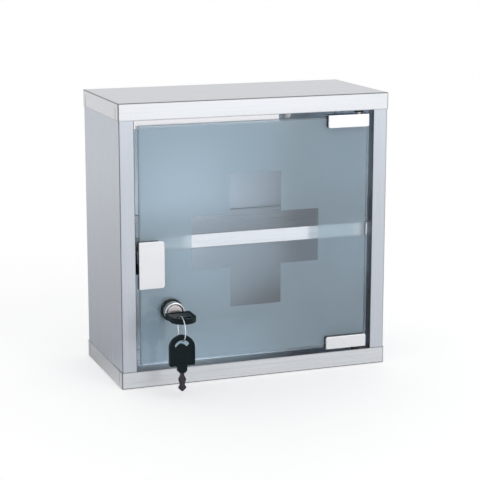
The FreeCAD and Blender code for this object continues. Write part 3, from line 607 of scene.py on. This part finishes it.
def add_rivet(mesh, diameter, height, place, direction):
    """Domed rivet head that stands on a face."""
    made = bmesh.ops.create_uvsphere(mesh, u_segments=20, v_segments=12, radius=diameter / 2)
    verts = made["verts"]
    faces = list({face for vert in verts for face in vert.link_faces})
    edges = list({edge for vert in verts for edge in vert.link_edges})
    cut = bmesh.ops.bisect_plane(mesh, geom=verts + edges + faces, plane_co=(0, 0, 0), plane_no=(0, 0, -1),
                                 clear_outer=True)
    rim = [item for item in cut["geom_cut"] if isinstance(item, bmesh.types.BMEdge)]
    bmesh.ops.holes_fill(mesh, edges=rim)
    dome = [item for item in cut["geom"] if isinstance(item, bmesh.types.BMVert)]
    flatten = Matrix.Diagonal((1, 1, height / (diameter / 2), 1))
    bmesh.ops.transform(mesh, matrix=place_along(direction, place) @ flatten, verts=dome)


def cross_screw(head, head_height, shank, length):
    """Pan-head screw with a cross recess, along Z, with the underside of its head at zero."""
    tip_share, crown_share, top_share = 0.4, 0.62, 0.99
    dome_shares = ((1, 0.35), (0.93, 0.66), (0.8, 0.88), (crown_share, 1))
    arm_share, reach_share = 0.24, 0.86
    floor_share, depth_share = 0.6, 0.6
    mesh = bmesh.new()
    radius, core = head / 2, shank / 2
    crown = radius * crown_share
    tip = core * tip_share
    profile = [(tip, -length), (core, tip - length), (core, 0), (radius, 0)]
    profile += [(radius * out, head_height * up) for out, up in dome_shares]
    add_turned(mesh, profile, steps=24)
    bmesh.ops.remove_doubles(mesh, verts=mesh.verts, dist=1e-7)
    rims = [edge for edge in mesh.edges if edge.is_boundary]
    top = [edge for edge in rims if all(vert.co.z > head_height * top_share for vert in edge.verts)]
    low = [edge for edge in rims if edge not in top]
    bmesh.ops.contextual_create(mesh, geom=low)
    arm, reach = crown * arm_share, crown * reach_share
    corner = [(arm, reach), (arm, arm), (reach, arm)]
    outline = []
    for quarter in range(4):
        turn = Matrix.Rotation(-FULL_TURN * quarter / 4, 2)
        outline += [mesh.verts.new((*(turn @ Vector(point)), head_height)) for point in corner]
    cross = [mesh.edges.new(pair) for pair in zip(outline, outline[1:] + outline[:1])]
    bmesh.ops.bridge_loops(mesh, edges=top + cross)
    sunk = bmesh.ops.extrude_edge_only(mesh, edges=cross)["geom"]
    floor_verts = [item for item in sunk if isinstance(item, bmesh.types.BMVert)]
    floor_edges = [item for item in sunk if isinstance(item, bmesh.types.BMEdge)]
    bmesh.ops.scale(mesh, vec=(floor_share, floor_share, 1), verts=floor_verts)
    bmesh.ops.translate(mesh, vec=(0, 0, -head_height * depth_share), verts=floor_verts)
    bmesh.ops.contextual_create(mesh, geom=[edge for edge in floor_edges if edge.is_boundary])
    return mesh


def barrel_thread(detail):
    """Thread on the lock's barrel, from its nut to near its end."""
    start_share, width_share, barrel_share = 0.2, 0.8, 0.375
    sunk = 0.00005
    steps_per_turn = 36
    nut_low, nut_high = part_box("lock_nut")
    start = nut_high.y + detail.thread_pitch * start_share
    end = lock_high.y - detail.thread_pitch
    turns = (end - start) / detail.thread_pitch
    radius = (nut_high.z - nut_low.z) * barrel_share
    width = detail.thread_pitch * width_share
    root, crest = radius - sunk, radius + detail.thread_height
    corners = [(root, 0), (crest, width / 2), (root, width)]
    mesh = bmesh.new()
    ring = [mesh.verts.new((lock_middle.x + out, start + along, lock_middle.z)) for out, along in corners]
    sides = [mesh.edges.new(pair) for pair in zip(ring, ring[1:] + ring[:1])]
    steps = round(turns * steps_per_turn)
    rise = detail.thread_pitch * turns / steps
    bmesh.ops.spin(mesh, geom=ring + sides, cent=lock_middle, axis=(0, 1, 0), angle=FULL_TURN * turns,
                   steps=steps, dvec=(0, rise, 0))
    bmesh.ops.holes_fill(mesh, edges=[edge for edge in mesh.edges if edge.is_boundary])
    return mesh


class CABINET_OT_sheet(bpy.types.Operator):
    """Give the folded sheet its brushed finish"""

    bl_idname = "cabinet.sheet"
    bl_label = "Brushed sheet"

    def execute(self, context):
        sheet = context.scene.cabinet_sheet
        # The caps take their lighter colour, painted light for the light on their skirts
        dress(CAPS, brushed_sheet("brushed_cap", sheet.cap, X_AXIS, Y_AXIS, painted_inside_and_gap=True))
        dress(UPRIGHT_SHEETS, brushed_sheet("brushed_upright", sheet.colour, Z_AXIS, painted_inside_and_gap=True))
        dress(BRACKETS, brushed_sheet("brushed_bracket", sheet.colour, Y_AXIS))
        dress(("shelf",), brushed_sheet("polished_shelf", sheet.shelf, X_AXIS))
        dress(("door_stop_strip",), brushed_sheet("bright_strip", sheet.strip, X_AXIS))
        # Rear sheet in its grey, painted lighter and bluer for the light inside
        dress(("back_panel",), plain_steel("plain_rear", sheet.rear, mottle_share=0.25))
        return {"FINISHED"}


class CABINET_OT_pane(bpy.types.Operator):
    """Give the door its etched glass"""

    bl_idname = "cabinet.pane"
    bl_label = "Etched pane"

    def execute(self, context):
        dress(("door_glass",), etched_pane("etched_glass"))
        return {"FINISHED"}


class CABINET_OT_fittings(bpy.types.Operator):
    """Finish hinges, strike plate, gaskets, bushes and latch"""

    bl_idname = "cabinet.fittings"
    bl_label = "Fittings"

    def execute(self, context):
        fitting = context.scene.cabinet_fitting
        dress(PLATED, bright_plating("satin_plating"))
        dress(PLAIN_STEEL, plain_steel("plain_steel", fitting.steel))
        dress(RUBBER, moulding("dark_rubber", fitting.rubber, roughness=0.62, grain=0.0005, gloss=0.25))
        dress(("stop_buffer",), moulding("pale_nylon", fitting.nylon, roughness=0.42, grain=0.0008))
        dress(BLACK_CASES, moulding("black_case", fitting.rubber, roughness=0.45, grain=0.0006, gloss=0.3))
        return {"FINISHED"}


class CABINET_OT_lock(bpy.types.Operator):
    """Finish the cam lock and cut the thread behind its nut"""

    bl_idname = "cabinet.lock"
    bl_label = "Cam lock"

    def execute(self, context):
        fitting = context.scene.cabinet_fitting
        chrome = bright_plating("bright_chrome", roughness_share=0.45)
        dress(("lock_barrel",), chrome)
        dress(("lock_cam",), bright_plating("plated_cam", roughness_share=1.8))
        dress(("lock_plug",), turned_face("turned_plug", fitting.plug))
        thread = barrel_thread(context.scene.cabinet_detail)
        new_piece("lock_thread", thread, chrome, "door")
        return {"FINISHED"}


class CABINET_OT_keys(bpy.types.Operator):
    """Finish both keys and their ring"""

    bl_idname = "cabinet.keys"
    bl_label = "Keys"

    def execute(self, context):
        key = context.scene.cabinet_key
        dress(BOWS, moulding("black_bow", key.bow, key.bow_roughness, grain=0.0004, gloss=0.14))
        dress(BLADES, plain_steel("key_steel", key.blade, worn_share=key.blade_worn))
        dress(("key_ring",), bright_plating("ring_wire"))
        return {"FINISHED"}


class CABINET_OT_screws(bpy.types.Operator):
    """Model the cross-head screws of the latch and of the cam"""

    bl_idname = "cabinet.screws"
    bl_label = "Cross-head screws"

    def execute(self, context):
        detail = context.scene.cabinet_detail
        steel = plain_steel("screw_steel", context.scene.cabinet_fitting.steel)
        low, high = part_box("latch_screws")
        middle = (low + high) / 2
        aside = (high.x - low.x - detail.screw_head) / 2
        seat = high.z - detail.screw_head_height
        length = seat - low.z
        both = bmesh.new()
        for side in (-aside, aside):
            mesh = cross_screw(detail.screw_head, detail.screw_head_height, detail.screw_shank, length)
            bmesh.ops.transform(mesh, matrix=place_along((0, 0, 1), (middle.x + side, middle.y, seat)),
                                verts=mesh.verts)
            data = bpy.data.meshes.new("screw")
            mesh.to_mesh(data)
            mesh.free()
            both.from_mesh(data)
            bpy.data.meshes.remove(data)
        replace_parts(new_piece("latch_cross_screws", both, steel, "cabinet"), "latch_screws")
        low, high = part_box("cam_screw")
        middle = (low + high) / 2
        head = high.x - low.x
        height = high.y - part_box("lock_cam")[1].y
        seat = Vector((middle.x, high.y - height, middle.z))
        shank_share = 0.44
        mesh = cross_screw(head, height, head * shank_share, seat.y - low.y)
        bmesh.ops.transform(mesh, matrix=place_along((0, 1, 0), seat), verts=mesh.verts)
        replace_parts(new_piece("cam_cross_screw", mesh, steel, "lock_core"), "cam_screw")
        return {"FINISHED"}


class CABINET_OT_spring(bpy.types.Operator):
    """Coil the latch's spring, which in the real latch shortens as the plunger goes in"""

    bl_idname = "cabinet.spring"
    bl_label = "Latch spring"

    def execute(self, context):
        detail = context.scene.cabinet_detail
        low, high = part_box("latch_spring")
        middle = (low + high) / 2
        length = high.y - low.y
        wire = detail.spring_wire
        radius = (high.x - low.x - wire) / 2
        pitch = (length - wire) / detail.spring_turns
        lead = math.atan2(pitch, FULL_TURN * radius)
        start = Matrix.Translation((middle.x + radius, low.y + wire / 2, middle.z))
        tilted = start @ Matrix.Rotation(-lead, 4, "X")
        steps_per_turn = 48
        mesh = bmesh.new()
        bmesh.ops.create_circle(mesh, segments=12, radius=wire / 2, matrix=tilted)
        bmesh.ops.spin(mesh, geom=mesh.verts[:] + mesh.edges[:], cent=middle, axis=(0, -1, 0),
                       angle=FULL_TURN * detail.spring_turns, steps=steps_per_turn * detail.spring_turns,
                       dvec=(0, pitch / steps_per_turn, 0))
        bmesh.ops.holes_fill(mesh, edges=[edge for edge in mesh.edges if edge.is_boundary])
        steel = plain_steel("spring_steel", context.scene.cabinet_fitting.steel)
        coil = new_piece("latch_coil", mesh, steel, "cabinet")
        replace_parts(coil, "latch_spring")
        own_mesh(coil)
        return {"FINISHED"}


class CABINET_OT_rivets(bpy.types.Operator):
    """Set the rivets of the rear flanges and of the brackets"""

    bl_idname = "cabinet.rivets"
    bl_label = "Rivets"

    def execute(self, context):
        detail = context.scene.cabinet_detail
        size = (detail.rivet_diameter, detail.rivet_height)
        steel = plain_steel("rivet_steel", context.scene.cabinet_sheet.colour)
        mesh = bmesh.new()
        edge_share, end_share = 1.4, 0.2
        for panel, outwards in zip(UPRIGHT_SHEETS, (-1, 1)):
            low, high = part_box(panel)
            edge = low.x if outwards < 0 else high.x
            across = edge - outwards * detail.rivet_diameter * edge_share
            span = high.z - low.z - 2 * detail.rivet_margin
            for count in range(detail.rivets_per_flange):
                level = low.z + detail.rivet_margin + span * count / (detail.rivets_per_flange - 1)
                add_rivet(mesh, *size, (across, high.y, level), (0, 1, 0))
        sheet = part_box("latch_bracket")[0].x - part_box("left_side_panel")[0].x
        for bracket, inwards in zip(BRACKETS, (1, -1, 1)):
            low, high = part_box(bracket)
            wall = (low.x if inwards > 0 else high.x) + inwards * sheet
            level = low.z + detail.rivet_diameter
            inset = (high.y - low.y) * end_share
            for along in (low.y + inset, high.y - inset):
                add_rivet(mesh, *size, (wall, along, level), (inwards, 0, 0))
        new_piece("rivets", mesh, steel, "cabinet")
        return {"FINISHED"}


class CABINET_OT_stage(bpy.types.Operator):
    """Set up the floor, the light and the camera"""

    bl_idname = "cabinet.stage"
    bl_label = "Studio stage"

    def execute(self, context):
        stage = context.scene.cabinet_stage
        self.floor(stage)
        self.light(context.scene, stage)
        self.camera(context.scene, stage)
        context.scene.view_settings.view_transform = "Standard"
        return {"FINISHED"}

    def seen(self, tree):
        """One for rays that look straight at a surface, or by way of metal or glass."""
        rays = tree.nodes.new("ShaderNodeLightPath").outputs
        either = tree.nodes.new("ShaderNodeMath")
        either.operation = "MAXIMUM"
        tree.links.new(rays["Is Glossy Ray"], either.inputs[0])
        tree.links.new(rays["Is Transmission Ray"], either.inputs[1])
        every = tree.nodes.new("ShaderNodeMath")
        every.operation = "MAXIMUM"
        tree.links.new(rays["Is Camera Ray"], every.inputs[0])
        tree.links.new(either.outputs["Value"], every.inputs[1])
        return every.outputs["Value"]

    def painted_shadow_behind(self, finish, stage):
        """Painted shadow in reflections of the floor: one at the cabinet's rear left corner, falling to zero
        in front of it and further off.
        """
        corner = (cad_box[0].x, cad_box[1].y, 0)
        offset = finish.vector("SUBTRACT", finish.place, corner)["Vector"]
        away = finish.vector("LENGTH", offset)["Value"]
        near = finish.between(away, zero_at=stage.painted_shadow_reach, one_at=0.0)
        rear = finish.between(finish.parts(offset)["Y"], zero_at=pane_low.y - cad_box[1].y, one_at=0.0)
        return finish.math("MULTIPLY", near, rear)

    def floor(self, stage):
        """Wide pale floor that is white where nothing shades it, with a painted shadow behind the cabinet in
        what metal reflects of it.
        """
        mesh = bmesh.new()
        bmesh.ops.create_grid(mesh, x_segments=1, y_segments=1, size=stage.floor_size / 2)
        data = bpy.data.meshes.new("floor")
        mesh.to_mesh(data)
        mesh.free()
        floor = bpy.data.objects.new("floor", data)
        bpy.context.scene.collection.objects.link(floor)
        finish = Finish("pale_floor")
        rays = finish.add("ShaderNodeLightPath", {}).outputs
        # Painted shadow: reflected rays see less of the floor's white behind the cabinet
        shade = finish.math("MULTIPLY", rays["Is Glossy Ray"], self.painted_shadow_behind(finish, stage))
        unshaded = finish.math("SUBTRACT", self.seen(finish.tree), shade)
        lift = finish.math("MULTIPLY", unshaded, stage.floor_lift)
        cloud = finish.cloud(size=0.4)
        data.materials.append(finish.surface({
            "Base Color": finish.shades(cloud, stage.floor_colour, dark_share=0.99, light_share=1.01),
            "Roughness": 0.7,
            "Emission Color": (1, 1, 1, 1),
            "Emission Strength": lift,
        }))

    def light(self, scene, stage):
        """Even light all round, white to the eye, and one soft light in front."""
        world = bpy.data.worlds.new("studio")
        world.use_nodes = True
        scene.world = world
        tree = world.node_tree
        ground = tree.nodes["Background"]
        ground.inputs["Color"].default_value = (1, 1, 1, 1)
        level = tree.nodes.new("ShaderNodeMapRange")
        tree.links.new(self.seen(tree), level.inputs["Value"])
        level.inputs["To Min"].default_value = stage.fill
        level.inputs["To Max"].default_value = 1.0
        tree.links.new(level.outputs["Result"], ground.inputs["Strength"])
        lamp = bpy.data.lights.new("key", "AREA")
        lamp.energy = stage.key_power
        lamp.shape = "RECTANGLE"
        lamp.size = stage.key_width
        lamp.size_y = stage.key_height
        key = bpy.data.objects.new("key", lamp)
        key.location = stage.key_place
        aim = pane_middle - Vector(stage.key_place)
        key.rotation_euler = aim.to_track_quat("-Z", "Y").to_euler()
        scene.collection.objects.link(key)

    def camera(self, scene, stage):
        """Camera at the photograph's viewing angle."""
        data = bpy.data.cameras.new("camera")
        data.lens = stage.camera_lens
        camera = bpy.data.objects.new("camera", data)
        camera.location = stage.camera_place
        camera.rotation_euler = (FULL_TURN / 4 - stage.camera_pitch, 0, -stage.camera_yaw)
        scene.collection.objects.link(camera)
        scene.camera = camera


PIECES = (CABINET_OT_sheet, CABINET_OT_pane, CABINET_OT_fittings, CABINET_OT_lock, CABINET_OT_keys,
          CABINET_OT_screws, CABINET_OT_spring, CABINET_OT_rivets, CABINET_OT_stage)


class CABINET_PT_pieces(bpy.types.Panel):
    """Sidebar list of the cabinet's finishes and pieces"""

    bl_label = "Cabinet"
    bl_space_type = "VIEW_3D"
    bl_region_type = "UI"
    bl_category = "Cabinet"

    def draw(self, context):
        for piece in PIECES:
            self.layout.operator(piece.bl_idname)


SETTINGS = {
    "cabinet_sheet": SheetSettings,
    "cabinet_pane": PaneSettings,
    "cabinet_fitting": FittingSettings,
    "cabinet_key": KeySettings,
    "cabinet_detail": DetailSettings,
    "cabinet_stage": StageSettings,
}


def register():
    """Register the settings, operators and panel."""
    for name, group in SETTINGS.items():
        bpy.utils.register_class(group)
        setattr(bpy.types.Scene, name, PointerProperty(type=group))
    for piece in PIECES + (CABINET_PT_pieces,):
        bpy.utils.register_class(piece)


def unregister():
    """Take the settings, operators and panel out again."""
    for piece in reversed(PIECES + (CABINET_PT_pieces,)):
        bpy.utils.unregister_class(piece)
    for name, group in SETTINGS.items():
        delattr(bpy.types.Scene, name)
        bpy.utils.unregister_class(group)


def main():
    """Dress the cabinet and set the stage."""
    register()
    bpy.ops.cabinet.sheet()
    bpy.ops.cabinet.pane()
    bpy.ops.cabinet.fittings()
    bpy.ops.cabinet.lock()
    bpy.ops.cabinet.keys()
    bpy.ops.cabinet.screws()
    bpy.ops.cabinet.spring()
    bpy.ops.cabinet.rivets()
    bpy.ops.cabinet.stage()


if __name__ == "__main__":
    main()
